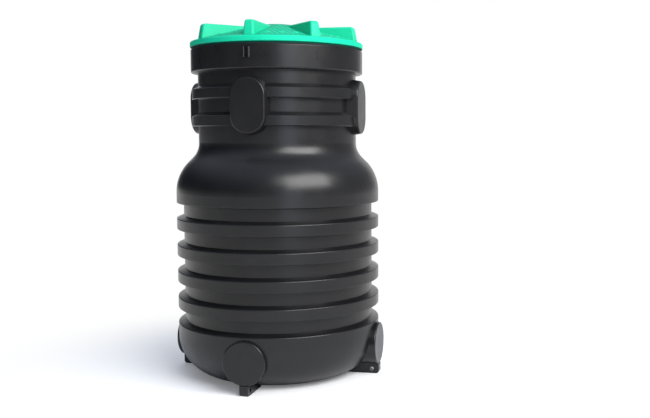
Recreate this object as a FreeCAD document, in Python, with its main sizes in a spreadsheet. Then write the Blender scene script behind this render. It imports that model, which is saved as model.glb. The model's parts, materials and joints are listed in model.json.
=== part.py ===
# Upright ribbed septic tank in black polyethylene with a green ribbed lid.
# The tank is a thin moulded shell on four foot lugs: a dished base, a corrugated wall,
# a domed shoulder, a neck with two broken bands, and a collar that carries the lid.
# Millimetres, +Z up, the origin on the floor in the middle of the footprint.
# The pipe seats lie on the X and Y axes, and the front one faces -Y.
import FreeCAD, Part
import Sketcher
import os
import re

doc = FreeCAD.newDocument("septic_tank")
sheet = doc.addObject("Spreadsheet::Sheet", "sizes")

SIZES = [
    # The moulded shell
    ("wall", 9, "thickness of the moulded shell"),
    ("body_radius", 500, "outside of the ribs and of the lower band"),
    ("edge_round", 4, "rounding of the moulded outer edges"),
    ("rim_round", 7, "rounding of the pipe seats' rims and of the collar"),
    # Base
    ("knuckle_radius", 205, "large radius between the flat bottom and the lower band"),
    ("base_top", 266, "height of the base's top edge"),
    # Corrugated wall
    ("groove_depth", 34, "how far the grooves are sunk below the ribs"),
    ("rib_pitch", 128.3, "from one rib to the next"),
    ("rib_face", 53, "height of a rib's outer face"),
    ("rib_slope", 14, "rise of a rib's upper face towards the wall"),
    ("rib_draft", 6, "fall of a rib's underside towards the wall"),
    ("rib_count", 4, "number of ribs above the lower band"),
    # Shoulder
    ("shoulder_skirt", 51.5, "straight part above the shoulder's lower edge"),
    ("shoulder_arc", 205, "radius of the convex dome"),
    ("sweep_arc", 103, "radius of the concave sweep into the neck"),
    # Neck and its two bands
    ("neck_radius", 388, "outside of the neck"),
    ("band_depth", 30, "how far the bands stand out of the neck"),
    ("band_face", 48.3, "height of a band's outer face"),
    ("band_slope", 17, "rise of a band's upper face towards the neck"),
    ("band_bevel", 3, "bevel of a band's outer edges"),
    ("band_rise", 79.7, "from the foot of the neck to the lower band"),
    ("band_pitch", 128.8, "from the lower band to the upper one"),
    # Collar
    ("collar_rise", 129.6, "from the upper band's underside to the collar's"),
    ("collar_depth", 33, "how far the collar stands out of the neck"),
    ("collar_height", 112.3, "height of the collar"),
    ("mouth_round", 5, "rounding of the collar's upper edge"),
    ("seal_thick", 3, "rubber ring between the collar and the lid"),
    ("seal_inset", 5.5, "how far the seal lies inside the collar's outside"),
    ("tab_width", 29, "width of the lock tab on the collar"),
    ("tab_height", 48, "height of the lock tab"),
    ("tab_proud", 8, "how far the lock tab stands out"),
    ("tab_drop", 14, "from the collar's top edge down to the lock tab"),
    # Upper pipe seats
    ("oval_proud", 13, "how far an upper seat's face stands out of the bands"),
    ("oval_width", 166, "width of an upper seat's face"),
    ("oval_height", 255.7, "height of an upper seat's face"),
    ("oval_draft", 10, "how much wider the seat is at its base, each side"),
    ("oval_lift", 4, "from midway between the bands' faces up to an upper seat's centre"),
    # Lower pipe seats
    ("seat_proud", 18, "how far a lower seat's face stands out of the base"),
    ("seat_radius", 103, "radius of a lower seat's face"),
    ("seat_level", 151, "height of a lower seat's centre"),
    # Foot lugs
    ("lug_start", 50, "from the edge of the flat bottom out to a lug's inner end"),
    ("lug_width", 41, "thickness of a lug, across the radius"),
    ("lug_round", 15, "rounding of a lug's outer lower corner"),
    ("lug_hole", 10, "radius of the hole through a lug"),
    ("lug_hole_inset", 36, "from a lug's outer face to its hole"),
    ("lug_hole_level", 22, "height of the hole"),
    # Lid
    ("lid_gap", 0.3, "between the seal and the lid"),
    ("lid_overhang", 2.5, "how far the lid's lip stands out of the collar"),
    ("flange_height", 5, "from the lid's underside up to the lip's lower edge"),
    ("lip_height", 27, "height of the lip"),
    ("lip_round", 7, "rounding of the lip's edges"),
    ("hub_radius", 80, "flat middle of the lid's plate"),
    ("hub_rise", 125, "from the lid's underside to the flat middle"),
    ("hub_round", 150, "soft turn between the flat middle and the sloping plate"),
    ("lid_wall", 7, "thickness of the lid"),
    ("skirt_gap", 12, "room for the thread between the lid's skirt and the collar"),
    ("skirt_depth", 50, "how far the lid's skirt hangs down"),
    # Grip ribs of the lid
    ("grip_rise", 108.5, "from the lid's underside to the top of the grip ribs"),
    ("grip_inset", 31.5, "from the lip in to a grip rib's outer top edge"),
    ("grip_lean", 13, "how far a grip rib's end leans outwards to its foot"),
    ("grip_width", 43, "width of a grip rib along its top"),
    ("grip_foot", 57, "width of a grip rib at the level of the lid's underside"),
    ("grip_round", 10, "rounding of a grip rib's long edges"),
    ("grip_end_round", 18, "rounding of a grip rib's outer top corner, seen from the side"),
    ("grip_count", 8, "number of grip ribs"),
]

# Radii and heights that follow from the driving sizes
DERIVED = {
    "flat_radius": "body_radius - knuckle_radius",
    "groove_radius": "body_radius - groove_depth",
    "first_wall": "base_top + rib_slope",
    "shoulder_bottom": "base_top + (rib_count + 1) * rib_pitch - rib_face",
    "last_wall": "shoulder_bottom - rib_draft",
    "dome_start": "shoulder_bottom + shoulder_skirt",
    "dome_turn_radius": "body_radius - shoulder_arc * (1 - cos(45))",
    "dome_turn_level": "dome_start + shoulder_arc * sin(45)",
    "sweep_radius": "neck_radius + sweep_arc * (1 - cos(45))",
    "sweep_level": "dome_turn_level + dome_turn_radius - sweep_radius",
    "neck_start": "sweep_level + sweep_arc * sin(45)",
    "band_radius": "neck_radius + band_depth",
    "lower_level": "neck_start + band_rise",
    "upper_level": "lower_level + band_pitch",
    "collar_bottom": "upper_level + collar_rise",
    "collar_radius": "neck_radius + collar_depth",
    "collar_top": "collar_bottom + collar_height",
    "oval_reach": "band_radius + oval_proud",
    "oval_level": "lower_level + (band_pitch + band_face) / 2 + oval_lift",
    "oval_depth": "oval_reach - neck_radius * cos(band_end)",
    "oval_flank": "atan(oval_draft / oval_depth)",
    "opening_width": "oval_width / 2 - wall",
    "opening_height": "oval_height / 2 - wall",
    "opening_bottom": "oval_level - oval_height / 2",
    "opening_top": "oval_level + oval_height / 2",
    "seat_reach": "body_radius + seat_proud",
    "lug_root": "flat_radius + lug_start",
    "lid_base": "collar_top + seal_thick + lid_gap",
    "lid_radius": "collar_radius + lid_overhang",
    "skirt_radius": "collar_radius - wall - skirt_gap",
    "skirt_inside": "skirt_radius - lid_wall",
    "flange_radius": "collar_radius - seal_inset",
    "lip_bottom": "lid_base + flange_height",
    "lip_top": "lip_bottom + lip_height",
    "hub_level": "lid_base + hub_rise",
    "plate_slope": "(hub_level - lip_top) / (lid_radius - hub_radius)",
    "plate_upright": "lid_wall * sqrt(1 + plate_slope ^ 2)",
    "plate_inside": "lip_top + (lid_radius - skirt_inside) * plate_slope - plate_upright",
    "grip_reach": "lid_radius - grip_inset",
    "grip_top": "lid_base + grip_rise",
    "grip_tilt": "atan(grip_lean / (grip_top - lip_top))",
    "grip_turn": "grip_end_round / tan((90 deg + grip_tilt) / 2)",
    "band_steepness": "band_slope / band_depth",
    "band_end": "asin((oval_width / 2 + oval_draft + wall) / neck_radius)",
    "fold_height": "band_face + band_slope - wall * sqrt(1 + band_steepness ^ 2)",
}

for row, (alias, value, note) in enumerate(SIZES, start=1):
    sheet.set("A%d" % row, alias)
    sheet.set("B%d" % row, str(value))
    sheet.setAlias("B%d" % row, alias)
    sheet.set("C%d" % row, note)
doc.recompute()

ALIASES = [alias for alias, value, note in SIZES]


def bound(expression):
    """The expression with each size written as a cell of the sheet."""
    def written(match):
        word = match.group(0)
        if word in ALIASES:
            return "sizes." + word
        if word in DERIVED:
            return "(%s)" % bound(DERIVED[word])
        return word
    return re.sub(r"[a-z_]+", written, str(expression))


def number(expression):
    """The expression's value with the sheet's present sizes."""
    return float(sheet.evalExpression(bound(expression)))


def origin_part(body, role):
    """One of the body's own origin planes or axes."""
    for feature in body.Origin.OriginFeatures:
        if feature.Role == role:
            return feature
    raise ValueError("no origin feature named " + role)


def new_body(name):
    body = doc.addObject("PartDesign::Body", name)
    body.Label = name
    return body


def new_sketch(body, name, plane, shift=None, turn=None):
    """A sketch on one of the body's origin planes, moved along or turned about its own axes."""
    sketch = body.newObject("Sketcher::SketchObject", name)
    sketch.AttachmentSupport = [(origin_part(body, plane), "")]
    sketch.MapMode = "FlatFace"
    if shift is not None:
        sketch.setExpression(".AttachmentOffset.Base.z", bound(shift))
    if turn is not None:
        axis, angle = turn
        sketch.AttachmentOffset = FreeCAD.Placement(
            FreeCAD.Vector(0, 0, 0), FreeCAD.Rotation(FreeCAD.Vector(*axis), number(angle)))
        sketch.setExpression(".AttachmentOffset.Rotation.Angle", bound(angle))
    return sketch


def hold(sketch, constraint, expression=None):
    index = sketch.addConstraint(constraint)
    if expression is not None:
        sketch.setExpression("Constraints[%d]" % index, bound(expression))


def pin_point(sketch, geometry, corner, across, up):
    """Hold one point of the sketch at the given expressions."""
    for axis, kind, expression in ((-2, "DistanceX", across), (-1, "DistanceY", up)):
        value = number(expression)
        if abs(value) < 1e-9:
            sketch.addConstraint(Sketcher.Constraint("PointOnObject", geometry, corner, axis))
        elif value > 0:
            hold(sketch, Sketcher.Constraint(kind, -1, 1, geometry, corner, value), expression)
        else:
            hold(sketch, Sketcher.Constraint(kind, geometry, corner, -1, 1, -value), "-(%s)" % expression)


def arc_between(start, end, radius, clockwise):
    """The shorter arc from start to end with the given radius."""
    chord = end - start
    middle = (start + end) * 0.5
    offset = (radius ** 2 - (chord.Length / 2) ** 2) ** 0.5
    side = FreeCAD.Vector(-chord.y, chord.x, 0).normalize()
    centre = middle + side * (-offset if clockwise else offset)
    first, last = (end, start) if clockwise else (start, end)
    circle = Part.Circle(centre, FreeCAD.Vector(0, 0, 1), radius)
    return Part.ArcOfCircle(circle, circle.parameter(first), circle.parameter(last))


def draw(sketch, outline):
    """Draw a closed outline. Each corner is (across, up), or (across, up, radius, turn)
    where an arc leads to the next corner, turning "left" or "right"."""
    points = [FreeCAD.Vector(number(corner[0]), number(corner[1]), 0) for corner in outline]
    starts = []
    ends = []
    for index, corner in enumerate(outline):
        start = points[index]
        end = points[(index + 1) % len(outline)]
        if len(corner) == 2:
            edge = sketch.addGeometry(Part.LineSegment(start, end), False)
            starts.append((edge, 1))
            ends.append((edge, 2))
        else:
            clockwise = corner[3] == "right"
            edge = sketch.addGeometry(arc_between(start, end, number(corner[2]), clockwise), False)
            starts.append((edge, 2 if clockwise else 1))
            ends.append((edge, 1 if clockwise else 2))
            hold(sketch, Sketcher.Constraint("Radius", edge, number(corner[2])), corner[2])
    for index, corner in enumerate(outline):
        edge, corner_id = starts[index]
        before, before_id = ends[index - 1]
        sketch.addConstraint(Sketcher.Constraint("Coincident", before, before_id, edge, corner_id))
        pin_point(sketch, edge, corner_id, corner[0], corner[1])
    return sketch


def circle(sketch, across, up, radius):
    """Draw a circle round the point (across, up)."""
    centre = FreeCAD.Vector(number(across), number(up), 0)
    edge = sketch.addGeometry(Part.Circle(centre, FreeCAD.Vector(0, 0, 1), number(radius)), False)
    pin_point(sketch, edge, 3, across, up)
    hold(sketch, Sketcher.Constraint("Radius", edge, number(radius)), radius)
    return sketch


def revolve(body, sketch, name, kind="Revolution", angle=None):
    """Revolve the sketch about the body's vertical axis."""
    feature = body.newObject("PartDesign::" + kind, name)
    feature.Profile = sketch
    feature.ReferenceAxis = (origin_part(body, "Z_Axis"), [""])
    feature.Angle = 360
    if angle is not None:
        feature.setExpression("Angle", bound(angle))
    return feature


def extrude(body, sketch, name, length, kind="Pad", midplane=False, reversed_way=False):
    feature = body.newObject("PartDesign::" + kind, name)
    feature.Profile = sketch
    feature.setExpression("Length", bound(length))
    feature.Midplane = midplane
    feature.Reversed = reversed_way
    return feature


def repeat_round(body, features, name, count):
    """Repeat the features round the vertical axis."""
    pattern = body.newObject("PartDesign::PolarPattern", name)
    pattern.Originals = features
    pattern.Axis = (origin_part(body, "Z_Axis"), [""])
    pattern.Angle = 360
    pattern.Occurrences = count
    body.Tip = pattern
    return pattern


def round_edges(body, base, name, radius, chosen):
    """Round the edges of the base feature for which chosen(edge) holds."""
    doc.recompute()
    names = ["Edge%d" % (index + 1) for index, edge in enumerate(base.Shape.Edges) if chosen(edge)]
    if not names:
        raise ValueError("no edge to round for " + name)
    fillet = body.newObject("PartDesign::Fillet", name)
    fillet.Base = (base, names)
    fillet.setExpression("Radius", bound(radius))
    return fillet


def rings(*places):
    """A test for the round edges at the given (radius, level) places."""
    wanted = [(number(radius), number(level)) for radius, level in places]

    def chosen(edge):
        if not isinstance(edge.Curve, Part.Circle):
            return False
        centre = edge.Curve.Center
        return any(abs(edge.Curve.Radius - radius) < 0.01 and abs(centre.z - level) < 0.01
                   and abs(centre.x) < 0.01 and abs(centre.y) < 0.01 for radius, level in wanted)
    return chosen


def beyond(distance, direction):
    """A test for the edges that lie at least so far out in a direction."""
    limit = number(distance) - 0.01
    normal = FreeCAD.Vector(*direction)

    def chosen(edge):
        return all(vertex.Point.dot(normal) >= limit for vertex in edge.Vertexes)
    return chosen


def turned(body, degrees):
    """Stand the body at its azimuth round the vertical axis."""
    body.Placement = FreeCAD.Placement(
        FreeCAD.Vector(0, 0, 0), FreeCAD.Rotation(FreeCAD.Vector(0, 0, 1), degrees))
    return body


QUARTERS = (("front", 0), ("right", 90), ("back", 180), ("left", 270))

# Outside of the base: flat bottom, knuckle and lower band, closed along the axis
BASE_OUTSIDE = [
    ("0", "0"),
    ("flat_radius", "0", "knuckle_radius", "left"),
    ("body_radius", "knuckle_radius"),
    ("body_radius", "base_top"),
    ("0", "base_top"),
]


def lower_seat_openings(body):
    """Cut the round openings behind the four lower seats."""
    doc.recompute()
    opening = new_sketch(body, "seat_opening_outline", "XZ_Plane")
    circle(opening, "0", "seat_level", "seat_radius - wall")
    cut = extrude(body, opening, "seat_opening", "body_radius", kind="Pocket")
    repeat_round(body, [cut], "seat_openings", 4)


def base_floor():
    """The flat round bottom."""
    body = new_body("base_floor")
    disc = circle(new_sketch(body, "floor_outline", "XY_Plane"), "0", "0", "flat_radius")
    extrude(body, disc, "floor", "wall")
    return body


def base_dish():
    """The large curve from the flat bottom up to the lower band."""
    body = new_body("base_dish")
    outline = [
        ("flat_radius", "0", "knuckle_radius", "left"),
        ("body_radius", "knuckle_radius"),
        ("body_radius - wall", "knuckle_radius", "knuckle_radius - wall", "right"),
        ("flat_radius", "wall"),
    ]
    revolve(body, draw(new_sketch(body, "dish_profile", "XZ_Plane"), outline), "dish")
    lower_seat_openings(body)
    return body


def base_band():
    """The upright lower band, folded in at its top to the first groove."""
    body = new_body("base_band")
    outline = [
        ("body_radius - wall", "knuckle_radius"),
        ("body_radius", "knuckle_radius"),
        ("body_radius", "base_top"),
        ("groove_radius", "first_wall"),
        ("groove_radius - wall", "first_wall"),
        ("groove_radius - wall", "first_wall - wall"),
        ("body_radius - wall", "base_top - wall"),
    ]
    shell = revolve(body, draw(new_sketch(body, "band_profile", "XZ_Plane"), outline), "band")
    round_edges(body, shell, "band_edge", "edge_round", rings(("body_radius", "base_top")))
    lower_seat_openings(body)
    return body


def ribbed_shell():
    """The corrugated wall: grooves between ribs, one profile made rib by rib."""
    body = new_body("ribbed_shell")
    outside = [("groove_radius", "first_wall")]
    inside = [("groove_radius - wall", "first_wall")]
    for rib in range(1, int(number("rib_count")) + 1):
        top = "(base_top + %d * rib_pitch)" % rib
        bottom = "(%s - rib_face)" % top
        outside.append(("groove_radius", bottom + " - rib_draft"))
        outside.append(("body_radius", bottom))
        outside.append(("body_radius", top))
        outside.append(("groove_radius", top + " + rib_slope"))
        inside.append(("groove_radius - wall", bottom + " - rib_draft + wall"))
        inside.append(("body_radius - wall", bottom + " + wall"))
        inside.append(("body_radius - wall", top + " - wall"))
        inside.append(("groove_radius - wall", top + " + rib_slope - wall"))
    outside.append(("groove_radius", "last_wall"))
    inside.append(("groove_radius - wall", "last_wall"))
    outline = outside + inside[::-1]
    sketch = draw(new_sketch(body, "wall_profile", "XZ_Plane"), outline)
    shell = revolve(body, sketch, "corrugated_wall")
    outer_edges = [corner for corner in outside if corner[0] == "body_radius"]
    round_edges(body, shell, "rib_edges", "edge_round", rings(*outer_edges))
    return body


def shoulder_dome():
    body = new_body("shoulder_dome")
    outline = [
        ("groove_radius - wall", "last_wall"),
        ("groove_radius", "last_wall"),
        ("body_radius", "shoulder_bottom"),
        ("body_radius", "dome_start", "shoulder_arc", "left"),
        ("dome_turn_radius", "dome_turn_level"),
        ("dome_turn_radius - wall * cos(45)", "dome_turn_level - wall * sin(45)",
         "shoulder_arc - wall", "right"),
        ("body_radius - wall", "dome_start"),
        ("body_radius - wall", "shoulder_bottom + wall"),
        ("groove_radius - wall", "last_wall + wall"),
    ]
    shell = revolve(body, draw(new_sketch(body, "shoulder_profile", "XZ_Plane"), outline), "shoulder")
    round_edges(body, shell, "skirt_edge", "edge_round", rings(("body_radius", "shoulder_bottom")))
    return body


def neck_foot():
    """The concave sweep from the dome into the neck, up to the upper seats' openings."""
    body = new_body("neck_foot")
    outline = [
        ("dome_turn_radius", "dome_turn_level"),
        ("sweep_radius", "sweep_level", "sweep_arc", "right"),
        ("neck_radius", "neck_start"),
        ("neck_radius", "opening_bottom"),
        ("neck_radius - wall", "opening_bottom"),
        ("neck_radius - wall", "neck_start", "sweep_arc + wall", "left"),
        ("sweep_radius - wall * cos(45)", "sweep_level - wall * sin(45)"),
        ("dome_turn_radius - wall * cos(45)", "dome_turn_level - wall * sin(45)"),
    ]
    revolve(body, draw(new_sketch(body, "sweep_profile", "XZ_Plane"), outline), "sweep")
    return body


def stadium(sketch, half_width, half_height, level):
    """An upright oval outline with round ends."""
    straight = "(%s - %s)" % (half_height, half_width)
    outline = [
        (half_width, "%s - %s" % (level, straight)),
        (half_width, "%s + %s" % (level, straight), half_width, "left"),
        ("0", "%s + %s" % (level, half_height), half_width, "left"),
        ("-(%s)" % half_width, "%s + %s" % (level, straight)),
        ("-(%s)" % half_width, "%s - %s" % (level, straight), half_width, "left"),
        ("0", "%s - %s" % (level, half_height), half_width, "left"),
    ]
    return draw(sketch, outline)


# A neck band is a hollow fold of the wall, closed at both ends beside the upper seats
def band_hollow(body, name, bottom, outer_radius):
    """The hollow of a band, from inside the neck out to the given radius."""
    drop = "(%s - neck_radius) * band_steepness" % outer_radius
    sketch = new_sketch(body, name + "_profile", "XZ_Plane", turn=((0, 1, 0), "band_end"))
    draw(sketch, [
        ("neck_radius - 2 * wall", "%s + wall" % bottom),
        (outer_radius, "%s + wall" % bottom),
        (outer_radius, "%s + fold_height - %s" % (bottom, drop)),
        ("neck_radius", "%s + fold_height" % bottom),
        ("neck_radius - 2 * wall", "%s + fold_height" % bottom),
    ])
    return revolve(body, sketch, name, kind="Groove", angle="90 deg - 2 * band_end")


def ring(name, inside, outside, bottom, top):
    """A plain ring with a rectangular section."""
    body = new_body(name)
    outline = [(inside, bottom), (outside, bottom), (outside, top), (inside, top)]
    revolve(body, draw(new_sketch(body, "ring_profile", "XZ_Plane"), outline), "ring")
    return body


def neck_wall(name, bottom, top, band_bottom):
    """The neck behind one row of bands, with the openings of the upper seats and the bands."""
    body = ring(name, "neck_radius - wall", "neck_radius", bottom, top)
    doc.recompute()
    opening = new_sketch(body, "seat_opening_outline", "XZ_Plane")
    stadium(opening, "opening_width", "opening_height", "oval_level")
    cut = extrude(body, opening, "seat_opening", "body_radius", kind="Pocket")
    repeat_round(body, [cut], "seat_openings", 4)
    doc.recompute()
    fold = band_hollow(body, "fold", band_bottom, "(neck_radius + wall)")
    repeat_round(body, [fold], "folds", 4)
    return body


def neck_band(name, bottom, quarter):
    """A quarter of a neck band, from the flank of one upper seat to the next."""
    body = new_body(name)
    top = "(%s + band_face)" % bottom
    outline = [
        ("neck_radius", bottom),
        ("band_radius - band_bevel", bottom),
        ("band_radius", "%s + band_bevel" % bottom),
        ("band_radius", "%s - band_bevel / 2" % top),
        ("band_radius - band_bevel", "%s + band_bevel * band_steepness" % top),
        ("neck_radius", "%s + band_slope" % top),
    ]
    revolve(body, draw(new_sketch(body, "band_profile", "XZ_Plane"), outline), "band", angle="90")
    for end, plane, shift, reversed_way in (("first", "YZ_Plane", "oval_reach", False),
                                            ("last", "XZ_Plane", "-(oval_reach)", True)):
        doc.recompute()
        flank = new_sketch(body, end + "_flank_outline", plane, shift=shift)
        stadium(flank, "(oval_width / 2)", "(oval_height / 2)", "oval_level")
        cut = extrude(body, flank, end + "_flank", "oval_depth", kind="Pocket", reversed_way=reversed_way)
        cut.setExpression("TaperAngle", bound("oval_flank"))
    doc.recompute()
    band_hollow(body, "hollow", bottom, "(band_radius - wall)")
    return turned(body, quarter - 90)


def upper_seat(name, quarter):
    """A hollow oval boss with a closed face and drafted sides, seated on the neck."""
    body = new_body(name)
    face = new_sketch(body, "face_outline", "XZ_Plane", shift="oval_reach")
    stadium(face, "(oval_width / 2)", "(oval_height / 2)", "oval_level")
    boss = extrude(body, face, "boss", "oval_depth", reversed_way=True)
    boss.setExpression("TaperAngle", bound("oval_flank"))
    round_edges(body, boss, "rim", "rim_round", beyond("oval_reach", (0, -1, 0)))
    doc.recompute()
    inner_face = new_sketch(body, "inner_face_outline", "XZ_Plane", shift="oval_reach - wall")
    stadium(inner_face, "opening_width", "opening_height", "oval_level")
    hollow = extrude(body, inner_face, "hollow", "oval_depth", kind="Pocket")
    hollow.setExpression("TaperAngle", bound("oval_flank"))
    doc.recompute()
    saddle = new_sketch(body, "saddle_profile", "XZ_Plane")
    draw(saddle, [("0", "neck_start"), ("neck_radius", "neck_start"),
                  ("neck_radius", "collar_bottom"), ("0", "collar_bottom")])
    revolve(body, saddle, "saddle", kind="Groove")
    return turned(body, quarter)


def lower_seat(name, quarter):
    """A hollow round boss with a closed face, seated on the base."""
    body = new_body(name)
    face = new_sketch(body, "face_outline", "XZ_Plane", shift="seat_reach")
    circle(face, "0", "seat_level", "seat_radius")
    boss = extrude(body, face, "boss", "seat_reach - flat_radius", reversed_way=True)
    round_edges(body, boss, "rim", "rim_round", beyond("seat_reach", (0, -1, 0)))
    doc.recompute()
    inner_face = new_sketch(body, "inner_face_outline", "XZ_Plane", shift="seat_reach - wall")
    circle(inner_face, "0", "seat_level", "seat_radius - wall")
    extrude(body, inner_face, "hollow", "seat_reach - flat_radius", kind="Pocket")
    doc.recompute()
    saddle = draw(new_sketch(body, "saddle_profile", "XZ_Plane"), BASE_OUTSIDE)
    revolve(body, saddle, "saddle", kind="Groove")
    return turned(body, quarter)


def foot_lug(name, quarter):
    """A radial web under a lower seat, with a cross hole near its outer end."""
    body = new_body(name)
    web = new_sketch(body, "web_outline", "YZ_Plane")
    draw(web, [
        ("-lug_root", "0"),
        ("-lug_root", "seat_level"),
        ("-seat_reach", "seat_level"),
        ("-seat_reach", "lug_round", "lug_round", "left"),
        ("-(seat_reach - lug_round)", "0"),
    ])
    extrude(body, web, "web", "lug_width", midplane=True)
    doc.recompute()
    under_seat = new_sketch(body, "seat_outline", "XZ_Plane")
    circle(under_seat, "0", "seat_level", "seat_radius")
    extrude(body, under_seat, "under_seat", "2 * seat_reach", kind="Pocket", midplane=True)
    doc.recompute()
    saddle = draw(new_sketch(body, "saddle_profile", "XZ_Plane"), BASE_OUTSIDE)
    revolve(body, saddle, "saddle", kind="Groove")
    doc.recompute()
    hole = new_sketch(body, "hole_outline", "YZ_Plane")
    circle(hole, "-(seat_reach - lug_hole_inset)", "lug_hole_level", "lug_hole")
    extrude(body, hole, "hole", "2 * lug_width", kind="Pocket", midplane=True)
    return turned(body, quarter)


def collar():
    """The upright wall that the lid screws into, rounded at both of its outer edges."""
    body = ring("collar", "collar_radius - wall", "collar_radius", "collar_bottom", "collar_top")
    lower_edge = rings(("collar_radius", "collar_bottom"))
    lower = round_edges(body, body.Tip, "lower_edge", "rim_round", lower_edge)
    round_edges(body, lower, "upper_edge", "mouth_round", rings(("collar_radius", "collar_top")))
    return body


def lock_tab():
    """A raised frame on the collar with an upright recess, where the lid locks."""
    body = new_body("lid_lock_tab")
    top = "(collar_top - tab_drop)"
    bottom = "(%s - tab_height)" % top
    block = new_sketch(body, "tab_outline", "XZ_Plane", shift="collar_radius + tab_proud")
    draw(block, [
        ("-tab_width / 2", bottom),
        ("tab_width / 2", bottom),
        ("tab_width / 2", top),
        ("-tab_width / 2", top),
    ])
    extrude(body, block, "tab", "tab_proud + wall", reversed_way=True)
    doc.recompute()
    recess = new_sketch(body, "recess_outline", "XZ_Plane", shift="collar_radius + tab_proud / 4")
    draw(recess, [
        ("-tab_width / 6", "%s + tab_width / 5" % bottom),
        ("tab_width / 6", "%s + tab_width / 5" % bottom),
        ("tab_width / 6", "%s - tab_width / 5" % top),
        ("-tab_width / 6", "%s - tab_width / 5" % top),
    ])
    extrude(body, recess, "recess", "tab_proud", kind="Pocket", reversed_way=True)
    doc.recompute()
    saddle = new_sketch(body, "saddle_profile", "XZ_Plane")
    draw(saddle, [("0", "collar_bottom"), ("collar_radius", "collar_bottom"),
                  ("collar_radius", "collar_top"), ("0", "collar_top")])
    revolve(body, saddle, "saddle", kind="Groove")
    return body


def lid_cover():
    """A shallow cone with a flat middle, ending in a solid lip above a set-back flange."""
    body = new_body("lid_cover")
    outline = [
        ("skirt_inside", "lid_base"),
        ("flange_radius", "lid_base"),
        ("flange_radius", "lip_bottom"),
        ("lid_radius", "lip_bottom"),
        ("lid_radius", "lip_top"),
        ("hub_radius", "hub_level"),
        ("0", "hub_level"),
        ("0", "hub_level - lid_wall"),
        ("hub_radius", "hub_level - lid_wall"),
        ("skirt_inside", "plate_inside"),
    ]
    plate = revolve(body, draw(new_sketch(body, "lid_profile", "XZ_Plane"), outline), "lid_plate")
    lip = rings(("lid_radius", "lip_bottom"), ("lid_radius", "lip_top"))
    rounded = round_edges(body, plate, "lip_edges", "lip_round", lip)
    round_edges(body, rounded, "middle_edge", "hub_round", rings(("hub_radius", "hub_level")))
    return body


def grip_rib(name, degrees):
    """A tapered rib on the lid's plate, highest at its outer end."""
    body = new_body(name)
    section = new_sketch(body, "rib_section", "YZ_Plane")
    draw(section, [
        ("-grip_foot / 2", "lid_base"),
        ("grip_foot / 2", "lid_base"),
        ("grip_width / 2", "grip_top"),
        ("-grip_width / 2", "grip_top"),
    ])
    extrude(body, section, "rib", "grip_reach + grip_lean")
    doc.recompute()
    end = new_sketch(body, "end_outline", "XZ_Plane")
    draw(end, [
        ("grip_reach + grip_lean", "lip_top"),
        ("grip_reach + 2 * grip_lean", "lip_top"),
        ("grip_reach + 2 * grip_lean", "grip_top + grip_lean"),
        ("grip_reach - grip_turn", "grip_top + grip_lean"),
        ("grip_reach - grip_turn", "grip_top", "grip_end_round", "right"),
        ("grip_reach + grip_turn * sin(grip_tilt)", "grip_top - grip_turn * cos(grip_tilt)"),
    ])
    cut = extrude(body, end, "end", "2 * grip_foot", kind="Pocket", midplane=True)
    top = number("grip_top") - 0.01
    end_start = number("grip_reach - grip_turn") - 0.01
    foot = number("lip_top") + 0.01

    def on_outline(edge):
        one_side = min(vertex.Y for vertex in edge.Vertexes) * max(vertex.Y for vertex in edge.Vertexes) > 0
        above = all(vertex.X > end_start or vertex.Z > top for vertex in edge.Vertexes)
        return one_side and above and edge.BoundBox.ZMax > foot
    round_edges(body, cut, "top_and_end", "grip_round", on_outline)
    doc.recompute()
    plate = new_sketch(body, "plate_profile", "XZ_Plane")
    draw(plate, [
        ("0", "lid_base"),
        ("lid_radius", "lid_base"),
        ("lid_radius", "lip_top"),
        ("hub_radius", "hub_level"),
        ("0", "hub_level"),
    ])
    revolve(body, plate, "plate", kind="Groove")
    return turned(body, degrees)


pieces = [base_floor(), base_dish(), base_band(), ribbed_shell(), shoulder_dome(), neck_foot()]
pieces.append(neck_wall("neck_lower_wall", "opening_bottom", "oval_level", "lower_level"))
pieces.append(neck_wall("neck_upper_wall", "oval_level", "opening_top", "upper_level"))
pieces.append(ring("neck_top", "neck_radius - wall", "neck_radius", "opening_top", "collar_bottom"))
for place, quarter in QUARTERS:
    pieces.append(lower_seat("lower_seat_" + place, quarter))
    pieces.append(foot_lug("foot_lug_" + place, quarter))
    pieces.append(upper_seat("upper_seat_" + place, quarter))
for band, (place, quarter) in enumerate(QUARTERS, start=1):
    pieces.append(neck_band("lower_band_%d" % band, "lower_level", quarter))
    pieces.append(neck_band("upper_band_%d" % band, "upper_level", quarter))
pieces.append(collar())
pieces.append(ring("collar_ledge", "neck_radius - wall", "collar_radius - wall",
                   "collar_bottom", "collar_bottom + wall"))
pieces.append(lock_tab())
pieces.append(ring("lid_seal", "collar_radius - wall", "flange_radius",
                   "collar_top", "collar_top + seal_thick"))
pieces.append(ring("lid_skirt", "skirt_inside", "skirt_radius", "lid_base - skirt_depth", "lid_base"))
pieces.append(lid_cover())
grip_count = int(number("grip_count"))
for grip in range(grip_count):
    pieces.append(grip_rib("lid_rib_%d" % (grip + 1), 360 / grip_count * grip - 90))
doc.recompute()

for thing in doc.Objects:
    for state in ("Invalid", "Error"):
        if state in thing.State:
            raise RuntimeError("%s is %s" % (thing.Name, state))
for piece in pieces:
    shape = piece.Shape
    if shape.isNull() or not shape.isValid():
        raise RuntimeError("%s has no valid shape" % piece.Label)

os.makedirs("parts", exist_ok=True)
for piece in pieces:
    piece.Shape.exportStep("parts/%s.step" % piece.Label)
    box = piece.Shape.BoundBox
    print("%-18s solids %d volume %9.0f  x %7.1f..%7.1f  y %7.1f..%7.1f  z %7.1f..%7.1f" % (
        piece.Label, len(piece.Shape.Solids), piece.Shape.Volume,
        box.XMin, box.XMax, box.YMin, box.YMax, box.ZMin, box.ZMax))
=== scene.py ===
# Upright ribbed septic tank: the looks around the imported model. Metres, +Z up.
import json
import math

import bmesh
import bpy
from mathutils import Matrix, Vector


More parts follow.
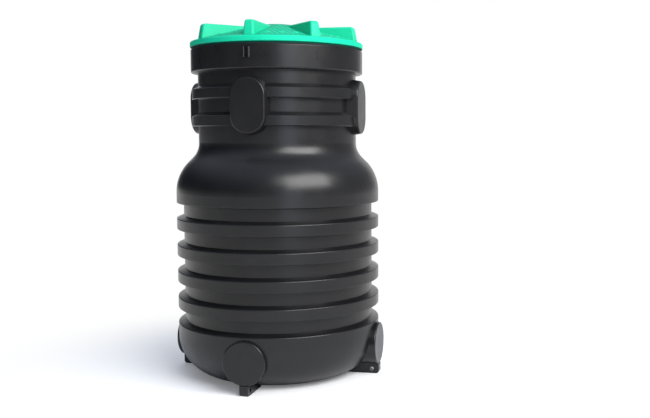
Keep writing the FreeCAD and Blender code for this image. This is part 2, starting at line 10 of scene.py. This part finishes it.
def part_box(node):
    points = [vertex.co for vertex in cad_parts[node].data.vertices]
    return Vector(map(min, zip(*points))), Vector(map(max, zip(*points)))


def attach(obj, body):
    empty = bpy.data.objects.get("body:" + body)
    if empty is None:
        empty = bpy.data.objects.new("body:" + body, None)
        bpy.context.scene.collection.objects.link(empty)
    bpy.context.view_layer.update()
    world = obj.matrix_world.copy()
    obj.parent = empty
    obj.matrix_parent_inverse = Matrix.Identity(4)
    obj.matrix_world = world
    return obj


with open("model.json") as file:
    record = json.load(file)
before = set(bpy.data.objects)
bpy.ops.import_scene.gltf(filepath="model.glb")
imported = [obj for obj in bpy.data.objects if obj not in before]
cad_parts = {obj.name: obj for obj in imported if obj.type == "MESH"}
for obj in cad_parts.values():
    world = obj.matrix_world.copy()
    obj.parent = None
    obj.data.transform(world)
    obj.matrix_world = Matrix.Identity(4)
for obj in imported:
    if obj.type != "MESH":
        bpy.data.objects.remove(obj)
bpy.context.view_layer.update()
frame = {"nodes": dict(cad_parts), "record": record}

# The photograph's view, as fitted to the ring edges of the tank
IMAGE_WIDTH = 650
FOCAL_PIXELS = 863.316
SENSOR_WIDTH = 36.0
CAMERA_DISTANCE = 4.3789
CAMERA_HEIGHT = 1.190
CAMERA_AZIMUTH = math.radians(19.0)
CAMERA_YAW = math.radians(7.727)
CAMERA_PITCH = math.radians(4.538)
# The picture is a crop, so its optical axis isn't in its middle
AXIS_RIGHT_PIXELS = 70.79
AXIS_DOWN_PIXELS = -6.80

WHITE = (1.0, 1.0, 1.0, 1.0)
WARM = (1.0, 0.99, 0.97)
BLUISH = (0.72, 0.82, 1.0)
SKYLIGHT = (0.90, 0.95, 1.0)

# The room as it shows in reflections, where its sides are shares of the way from left to right
LEFT_SIDE = 0.15
MIDDLE = 0.5
RIGHT_SIDE = 0.85
ROOM_LEFT = (0.020, 0.024, 0.034, 1.0)
ROOM_FRONT = (0.20, 0.21, 0.24, 1.0)
ROOM_RIGHT = (0.32, 0.32, 0.34, 1.0)
# Its ceiling, from low to high, and its wall, which is white only close to straight behind the tank
CEILING = (0.50, 0.55, 0.66, 1.0)
CEILING_START = 0.62
CEILING_FULL = 0.95
WALL_AZIMUTH = 172.0
WALL_START = 0.925
WALL_FULL = 0.955

# The floor, the light that the camera alone sees it give, and where it turns into plain white
FLOOR_HALF_SIZE = 30.0
FLOOR_WHITE = (0.96, 0.965, 0.975, 1.0)
FLOOR_LIFT = 0.15
FADE_START = 0.6
FADE_END = 1.7

# Numbers of the sockets of a Mix node that mixes colours
MIX_FACTOR = 0
MIX_FIRST = 6
MIX_SECOND = 7
MIX_RESULT = 2

# Patterns of the moulded plastic, as how many of their features fit in a metre
CLOUDS = 5.0
SMUDGES = 14.0
WAVES = 7.0
ORANGE_PEEL = 420.0
PLASTIC_IOR = 1.5
ROUGHNESS_SPREAD = 0.04

# The lid as packed: a plate that slopes from the flat hub to the lip, with ribs from the hub,
# and under the lip a flange that is set back
LID_LOW, LID_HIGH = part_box("lid_cover")
LID_RADIUS = LID_HIGH[0]
LID_TOP = LID_HIGH[2]
FLANGE_HEIGHT = 0.005
FLANGE_SETBACK = 0.008
LIP_BOTTOM = LID_LOW[2] + FLANGE_HEIGHT
FLANGE_RADIUS = LID_RADIUS - FLANGE_SETBACK
HUB_RADIUS = 0.080
PLATE_FALL = 0.093
RIB_COUNT = 8
RIB_STEP = 2 * math.pi / RIB_COUNT
RIB_HALF_WIDTH = 0.031

# Tread on the lid's plate: rings of studs, and longer dashes between each two ribs
LIP_WIDTH = 0.012
PLATE_RADIUS = LID_RADIUS - LIP_WIDTH
STUD_RINGS = 14
STUD_START = 0.125
STUD_RING_STEP = 0.020
STUD_PITCH = 0.024
STUD_LENGTH = 0.011
STUD_WIDTH = 0.0045
STUD_HEIGHT = 0.0014
STUD_SINK = 0.0008
DASH_COUNT = 3
DASH_RADIUS = 0.335
DASH_LENGTH = 0.027
DASH_WIDTH = 0.010
DASH_HEIGHT = 0.0038

# The lock tab as packed, whose uprights get a painted highlight near its sides
TAB_HALF_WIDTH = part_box("lid_lock_tab")[1][0]
PAINTED_HIGHLIGHT_START = 0.60 * TAB_HALF_WIDTH
PAINTED_HIGHLIGHT_FULL = 0.70 * TAB_HALF_WIDTH


def seen_from_camera(azimuth_degrees, distance, height):
    """A place given by its azimuth right of the camera's, in the tank's own frame."""
    angle = CAMERA_AZIMUTH + math.radians(azimuth_degrees)
    return Vector((distance * math.sin(angle), -distance * math.cos(angle), height))


def make_camera():
    """A camera that stands and looks as the photograph's did."""
    data = bpy.data.cameras.new("camera")
    data.sensor_fit = "HORIZONTAL"
    data.sensor_width = SENSOR_WIDTH
    data.lens = FOCAL_PIXELS / IMAGE_WIDTH * SENSOR_WIDTH
    data.shift_x = -AXIS_RIGHT_PIXELS / IMAGE_WIDTH
    data.shift_y = AXIS_DOWN_PIXELS / IMAGE_WIDTH
    camera = bpy.data.objects.new("camera", data)
    forward = Vector((math.sin(CAMERA_YAW) * math.cos(CAMERA_PITCH),
                      math.cos(CAMERA_YAW) * math.cos(CAMERA_PITCH),
                      -math.sin(CAMERA_PITCH)))
    right = Vector((math.cos(CAMERA_YAW), -math.sin(CAMERA_YAW), 0.0))
    up = right.cross(forward)
    turn = Matrix((right, up, -forward)).transposed().to_4x4()
    camera.matrix_world = (Matrix.Translation(seen_from_camera(0.0, CAMERA_DISTANCE, CAMERA_HEIGHT))
                           @ Matrix.Rotation(CAMERA_AZIMUTH, 4, "Z") @ turn)
    bpy.context.scene.collection.objects.link(camera)
    bpy.context.scene.camera = camera


class Nodes:
    """A short way to build a node tree."""

    def __init__(self, tree):
        self.tree = tree
        tree.nodes.clear()

    def add(self, kind, **values):
        """A new node, with its settings and its unlinked sockets given by name."""
        node = self.tree.nodes.new(kind)
        for name, value in values.items():
            if hasattr(node, name):
                setattr(node, name, value)
            else:
                node.inputs[name].default_value = value
        return node

    def link(self, source, target):
        self.tree.links.new(source, target)

    def ramp(self, value, *stops):
        """A colour ramp over the value, with (position, colour) stops."""
        node = self.add("ShaderNodeValToRGB")
        elements = node.color_ramp.elements
        while len(elements) < len(stops):
            elements.new(0.5)
        for element, (position, colour) in zip(elements, stops):
            element.position = position
            element.color = colour
        self.link(value, node.inputs["Fac"])
        return node.outputs["Color"]

    def mixed(self, factor, first, second):
        """One of two colours, or a colour between them."""
        node = self.add("ShaderNodeMix", data_type="RGBA")
        for value, socket in ((factor, MIX_FACTOR), (first, MIX_FIRST), (second, MIX_SECOND)):
            if isinstance(value, bpy.types.NodeSocket):
                self.link(value, node.inputs[socket])
            else:
                node.inputs[socket].default_value = value
        return node.outputs[MIX_RESULT]

    def spread(self, source, low, high, from_low=0.0, from_high=1.0, smooth=False):
        """The value spread over another range, from low to high."""
        interpolation = "SMOOTHSTEP" if smooth else "LINEAR"
        node = self.add("ShaderNodeMapRange", interpolation_type=interpolation)
        node.inputs["From Min"].default_value = from_low
        node.inputs["From Max"].default_value = from_high
        node.inputs["To Min"].default_value = low
        node.inputs["To Max"].default_value = high
        self.link(source, node.inputs["Value"])
        return node.outputs["Result"]

    def noise(self, coordinates, scale, detail, roughness):
        """Cloudy noise from 0 to 1."""
        texture = self.add("ShaderNodeTexNoise", Scale=scale, Detail=detail, Roughness=roughness)
        self.link(coordinates, texture.inputs["Vector"])
        return texture.outputs["Fac"]

    def either(self, first, second):
        """The larger of two values."""
        node = self.add("ShaderNodeMath", operation="MAXIMUM")
        self.link(first, node.inputs[0])
        self.link(second, node.inputs[1])
        return node.outputs["Value"]


def along(nodes, direction, axis):
    """How far a direction points along an axis, from 0 to 1."""
    product = nodes.add("ShaderNodeVectorMath", operation="DOT_PRODUCT")
    product.inputs[1].default_value = axis
    nodes.link(direction, product.inputs[0])
    return nodes.spread(product.outputs["Value"], 0.0, 1.0, -1.0, 1.0)


def make_world():
    """A plain white backdrop for the camera, and a dim room that lights and shows in reflections."""
    world = bpy.data.worlds.new("studio")
    bpy.context.scene.world = world
    world.use_nodes = True
    nodes = Nodes(world.node_tree)
    output = nodes.add("ShaderNodeOutputWorld")
    direction = nodes.add("ShaderNodeTexCoord").outputs["Generated"]
    sideways = along(nodes, direction, seen_from_camera(90.0, 1.0, 0.0))
    backwards = along(nodes, direction, seen_from_camera(WALL_AZIMUTH, 1.0, 0.0))
    upwards = along(nodes, direction, (0.0, 0.0, 1.0))
    sides = nodes.ramp(sideways, (LEFT_SIDE, ROOM_LEFT), (MIDDLE, ROOM_FRONT), (RIGHT_SIDE, ROOM_RIGHT))
    overhead = nodes.spread(upwards, 0.0, 1.0, CEILING_START, CEILING_FULL, smooth=True)
    behind = nodes.spread(backwards, 0.0, 1.0, WALL_START, WALL_FULL, smooth=True)
    room = nodes.mixed(behind, nodes.mixed(overhead, sides, CEILING), WHITE)
    lit = nodes.add("ShaderNodeBackground", Strength=1.0)
    nodes.link(room, lit.inputs["Color"])
    white = nodes.add("ShaderNodeBackground", Color=WHITE, Strength=1.0)
    path = nodes.add("ShaderNodeLightPath")
    mix = nodes.add("ShaderNodeMixShader")
    nodes.link(nodes.either(path.outputs["Is Camera Ray"], path.outputs["Is Transmission Ray"]),
               mix.inputs["Fac"])
    nodes.link(lit.outputs["Background"], mix.inputs[1])
    nodes.link(white.outputs["Background"], mix.inputs[2])
    nodes.link(mix.outputs["Shader"], output.inputs["Surface"])


def make_floor():
    """A matt pale floor that takes the tank's shadow and ends in plain white."""
    half = FLOOR_HALF_SIZE
    mesh = bpy.data.meshes.new("floor")
    mesh.from_pydata([(-half, -half, 0), (half, -half, 0), (half, half, 0), (-half, half, 0)],
                     [], [(0, 1, 2, 3)])
    floor = bpy.data.objects.new("floor", mesh)
    bpy.context.scene.collection.objects.link(floor)
    material = bpy.data.materials.new("floor_white")
    material.use_nodes = True
    nodes = Nodes(material.node_tree)
    output = nodes.add("ShaderNodeOutputMaterial")
    matt = nodes.add("ShaderNodeBsdfDiffuse", Color=FLOOR_WHITE)
    lift = nodes.add("ShaderNodeEmission", Color=WHITE, Strength=FLOOR_LIFT)
    lifted = nodes.add("ShaderNodeAddShader")
    nodes.link(matt.outputs["BSDF"], lifted.inputs[0])
    nodes.link(lift.outputs["Emission"], lifted.inputs[1])

    path = nodes.add("ShaderNodeLightPath")
    near = nodes.add("ShaderNodeMixShader")
    nodes.link(path.outputs["Is Camera Ray"], near.inputs["Fac"])
    nodes.link(matt.outputs["BSDF"], near.inputs[1])
    nodes.link(lifted.outputs["Shader"], near.inputs[2])

    # Seen from the camera or in a reflection, the floor turns into plain white away from the tank
    seen = nodes.either(path.outputs["Is Camera Ray"], path.outputs["Is Glossy Ray"])
    geometry = nodes.add("ShaderNodeNewGeometry")
    distance = nodes.add("ShaderNodeVectorMath", operation="LENGTH")
    nodes.link(geometry.outputs["Position"], distance.inputs[0])
    faded = nodes.add("ShaderNodeMath", operation="MULTIPLY")
    nodes.link(nodes.spread(distance.outputs["Value"], 0.0, 1.0, FADE_START, FADE_END, smooth=True),
               faded.inputs[0])
    nodes.link(seen, faded.inputs[1])
    white = nodes.add("ShaderNodeEmission", Color=WHITE, Strength=1.0)
    mix = nodes.add("ShaderNodeMixShader")
    nodes.link(faded.outputs["Value"], mix.inputs["Fac"])
    nodes.link(near.outputs["Shader"], mix.inputs[1])
    nodes.link(white.outputs["Emission"], mix.inputs[2])
    nodes.link(mix.outputs["Shader"], output.inputs["Surface"])
    floor.data.materials.append(material)


def area_light(name, place, target, size, energy, colour, in_reflections=True):
    """A soft rectangular light that faces its target."""
    data = bpy.data.lights.new(name, "AREA")
    data.shape = "RECTANGLE"
    data.size, data.size_y = size
    data.energy = energy
    data.color = colour
    light = bpy.data.objects.new(name, data)
    light.location = place
    light.rotation_mode = "QUATERNION"
    light.rotation_quaternion = (Vector(target) - Vector(place)).to_track_quat("-Z", "Y")
    light.visible_camera = False
    light.visible_glossy = in_reflections
    bpy.context.scene.collection.objects.link(light)


def make_lights():
    """A wide key light from the right, a bluish window in front and a panel overhead."""
    shoulder = (0.0, 0.0, 1.1)
    right_of_camera = seen_from_camera(34.0, 4.3, 3.8)
    front = seen_from_camera(14.0, 6.0, 1.4)
    overhead = (0.0, 0.0, 6.0)
    area_light("key", right_of_camera, shoulder, size=(4.4, 2.6), energy=320.0, colour=WARM)
    area_light("window", front, shoulder, size=(2.2, 2.4), energy=24.0, colour=BLUISH)
    # The ceiling panel keeps the shadow on the floor soft and pale
    area_light("ceiling", overhead, shoulder, size=(5.0, 5.0), energy=55.0, colour=SKYLIGHT,
               in_reflections=False)


def from_the_axis(nodes, place):
    """How far a place lies from the tank's axis."""
    flat = nodes.add("ShaderNodeVectorMath", operation="MULTIPLY")
    flat.inputs[1].default_value = (1.0, 1.0, 0.0)
    nodes.link(place, flat.inputs[0])
    radius = nodes.add("ShaderNodeVectorMath", operation="LENGTH")
    nodes.link(flat.outputs["Vector"], radius.inputs[0])
    return radius.outputs["Value"]


def under_the_lip(nodes, place):
    """1 on the set-back flange under the lid's lip, where its shade is painted, and 0 elsewhere."""
    height = nodes.add("ShaderNodeSeparateXYZ")
    nodes.link(place, height.inputs["Vector"])
    outside = nodes.spread(from_the_axis(nodes, place), 0.0, 1.0,
                           from_low=FLANGE_RADIUS - 0.006, from_high=FLANGE_RADIUS - 0.003)
    below = nodes.spread(height.outputs["Z"], 1.0, 0.0,
                         from_low=LIP_BOTTOM + 0.001, from_high=LIP_BOTTOM + 0.005)
    both = nodes.add("ShaderNodeMath", operation="MULTIPLY")
    nodes.link(outside, both.inputs[0])
    nodes.link(below, both.inputs[1])
    return both.outputs["Value"]


def on_the_plate(nodes, place):
    """1 on the lid's plate inside the lip and 0 elsewhere."""
    return nodes.spread(from_the_axis(nodes, place), 1.0, 0.0,
                        from_low=PLATE_RADIUS - 0.004, from_high=PLATE_RADIUS + 0.004)


def on_the_uprights(nodes, place):
    """1 on the outer edges of the lock tab's two uprights, where a highlight is painted, and 0 between
    them.
    """
    sideways = nodes.add("ShaderNodeSeparateXYZ")
    nodes.link(place, sideways.inputs["Vector"])
    from_middle = nodes.add("ShaderNodeMath", operation="ABSOLUTE")
    nodes.link(sideways.outputs["X"], from_middle.inputs[0])
    return nodes.spread(from_middle.outputs["Value"], 0.0, 1.0, PAINTED_HIGHLIGHT_START, PAINTED_HIGHLIGHT_FULL)


def moulded_plastic(name, dark, light, roughness, specular, grain, waviness,
                    plate_colour=None, gap_shade_colour=None, edge_highlight_colour=None):
    """Rotomoulded polyethylene: a fine orange peel over slow waves, faintly uneven in tone.
    Grain and waviness are the depths of the two. The plate colour is that of the darker plate between
    the lid's studs, the gap shade colour a painted shade on the flange in the gap under the lip, and
    the edge highlight colour a painted highlight on the outer edges of the lock tab's uprights."""
    material = bpy.data.materials.new(name)
    material.use_nodes = True
    nodes = Nodes(material.node_tree)
    output = nodes.add("ShaderNodeOutputMaterial")
    plastic = nodes.add("ShaderNodeBsdfPrincipled")
    plastic.inputs["Specular IOR Level"].default_value = specular
    plastic.inputs["IOR"].default_value = PLASTIC_IOR
    place = nodes.add("ShaderNodeTexCoord").outputs["Object"]

    clouds = nodes.noise(place, CLOUDS, detail=5.0, roughness=0.55)
    colour = nodes.ramp(clouds, (0.30, (*dark, 1.0)), (0.72, (*light, 1.0)))
    # A darker colour on the lid's plate inside the lip
    if plate_colour is not None:
        colour = nodes.mixed(on_the_plate(nodes, place), colour, (*plate_colour, 1.0))
    # Painted shade: a dark green on the flange in the gap under the lid's lip
    if gap_shade_colour is not None:
        colour = nodes.mixed(under_the_lip(nodes, place), colour, (*gap_shade_colour, 1.0))
    # Painted highlight: a paler colour on the outer edges of the lock tab's uprights
    if edge_highlight_colour is not None:
        colour = nodes.mixed(on_the_uprights(nodes, place), colour, (*edge_highlight_colour, 1.0))
    nodes.link(colour, plastic.inputs["Base Color"])
    smudges = nodes.noise(place, SMUDGES, detail=6.0, roughness=0.6)
    uneven = nodes.spread(smudges, roughness - ROUGHNESS_SPREAD, roughness + ROUGHNESS_SPREAD,
                          from_low=0.3, from_high=0.7)
    nodes.link(uneven, plastic.inputs["Roughness"])

    waves = nodes.add("ShaderNodeBump", Strength=1.0, Distance=waviness)
    nodes.link(nodes.noise(place, WAVES, detail=2.0, roughness=0.4), waves.inputs["Height"])
    peel = nodes.add("ShaderNodeBump", Strength=1.0, Distance=grain)
    nodes.link(nodes.noise(place, ORANGE_PEEL, detail=2.0, roughness=0.5), peel.inputs["Height"])
    nodes.link(waves.outputs["Normal"], peel.inputs["Normal"])
    nodes.link(peel.outputs["Normal"], plastic.inputs["Normal"])
    nodes.link(plastic.outputs["BSDF"], output.inputs["Surface"])
    return material


def dress(material, *names):
    """Give CAD nodes their material."""
    for name in names:
        thing = frame["nodes"][name]
        thing.data.materials.clear()
        thing.data.materials.append(material)


def plate_level(radius):
    """Height of the lid's sloping plate at a distance from the axis."""
    return LID_TOP - (radius - HUB_RADIUS) * PLATE_FALL / (LID_RADIUS - HUB_RADIUS)


def add_stud(mesh, radius, azimuth, length, width, height):
    """A bevelled stud on the lid's plate, its length running round the axis."""
    outwards = Vector((math.sin(azimuth), -math.cos(azimuth), 0.0))
    around = Vector((math.cos(azimuth), math.sin(azimuth), 0.0))
    corners = []
    for rise, narrowed in ((-STUD_SINK, 0.0), (height, height)):
        for side, way in ((-1, -1), (-1, 1), (1, 1), (1, -1)):
            out = radius + way * (width / 2 - narrowed)
            place = outwards * out + around * (side * (length / 2 - narrowed))
            corners.append(mesh.verts.new((place.x, place.y, plate_level(out) + rise)))
    mesh.faces.new(corners[3::-1])
    mesh.faces.new(corners[4:])
    for first in range(4):
        second = (first + 1) % 4
        mesh.faces.new((corners[first], corners[second], corners[second + 4], corners[first + 4]))


def clear_of_ribs(radius, azimuth, length):
    """Whether a stud of this length stands clear of the lid's ribs."""
    from_rib = (azimuth + RIB_STEP / 2) % RIB_STEP - RIB_STEP / 2
    return abs(radius * math.sin(from_rib)) > RIB_HALF_WIDTH + length / 2


def make_lid_tread():
    """Rings of fine studs on the plate, and a few long dashes between each two ribs."""
    mesh = bmesh.new()
    for ring in range(STUD_RINGS):
        radius = STUD_START + ring * STUD_RING_STEP
        count = round(2 * math.pi * radius / STUD_PITCH)
        for index in range(count):
            azimuth = 2 * math.pi * (index + 0.5 * (ring % 2)) / count
            if clear_of_ribs(radius, azimuth, STUD_LENGTH):
                add_stud(mesh, radius, azimuth, STUD_LENGTH, STUD_WIDTH, STUD_HEIGHT)
    for sector in range(RIB_COUNT):
        for dash in range(1, DASH_COUNT + 1):
            azimuth = (sector + dash / (DASH_COUNT + 1)) * RIB_STEP
            add_stud(mesh, DASH_RADIUS, azimuth, DASH_LENGTH, DASH_WIDTH, DASH_HEIGHT)
    data = bpy.data.meshes.new("lid_tread")
    mesh.to_mesh(data)
    mesh.free()
    tread = bpy.data.objects.new("lid_tread", data)
    bpy.context.scene.collection.objects.link(tread)
    tread.data.materials.append(green)
    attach(tread, "lid")


make_camera()
make_world()
make_floor()
make_lights()

black = moulded_plastic("tank_plastic", (0.0065, 0.0065, 0.0072), (0.0100, 0.0100, 0.0110),
                        roughness=0.31, specular=0.46, grain=0.00002, waviness=0.0008)
# The lock tab's black, with a painted highlight on the outer edges of its uprights
tab_black_painted_highlight = moulded_plastic("lock_tab_plastic", (0.0045, 0.0045, 0.0050), (0.0065, 0.0065, 0.0070),
                               roughness=0.30, specular=0.35, grain=0.00005, waviness=0.0,
                               edge_highlight_colour=(0.055, 0.055, 0.058))
green = moulded_plastic("lid_plastic", (0.010, 0.56, 0.31), (0.014, 0.62, 0.35),
                        roughness=0.45, specular=0.20, grain=0.00008, waviness=0.0005)
# The lid cover's green, with a darker plate and a painted shade in the gap under the lip
cover_green_with_painted_gap_shade = moulded_plastic("lid_plate_plastic", (0.008, 0.59, 0.335), (0.011, 0.65, 0.375),
                             roughness=0.55, specular=0.10, grain=0.00008, waviness=0.0005,
                             plate_colour=(0.004, 0.38, 0.215), gap_shade_colour=(0.003, 0.060, 0.042))
rubber = moulded_plastic("seal_rubber", (0.010, 0.010, 0.010), (0.014, 0.014, 0.014),
                         roughness=0.75, specular=0.3, grain=0.00005, waviness=0.0)

# The lock tab gets a painted highlight on its uprights, and the lid's cover a darker plate and a
# painted shade in the gap under its lip, over their bodies' materials
bodies = frame["record"]["behaviour"]["bodies"]
dress(black, *bodies["tank"])
dress(tab_black_painted_highlight, "lid_lock_tab")
dress(rubber, *bodies["seal"])
dress(green, *bodies["lid"])
dress(cover_green_with_painted_gap_shade, "lid_cover")
make_lid_tread()

bpy.context.scene.view_settings.view_transform = "Standard"
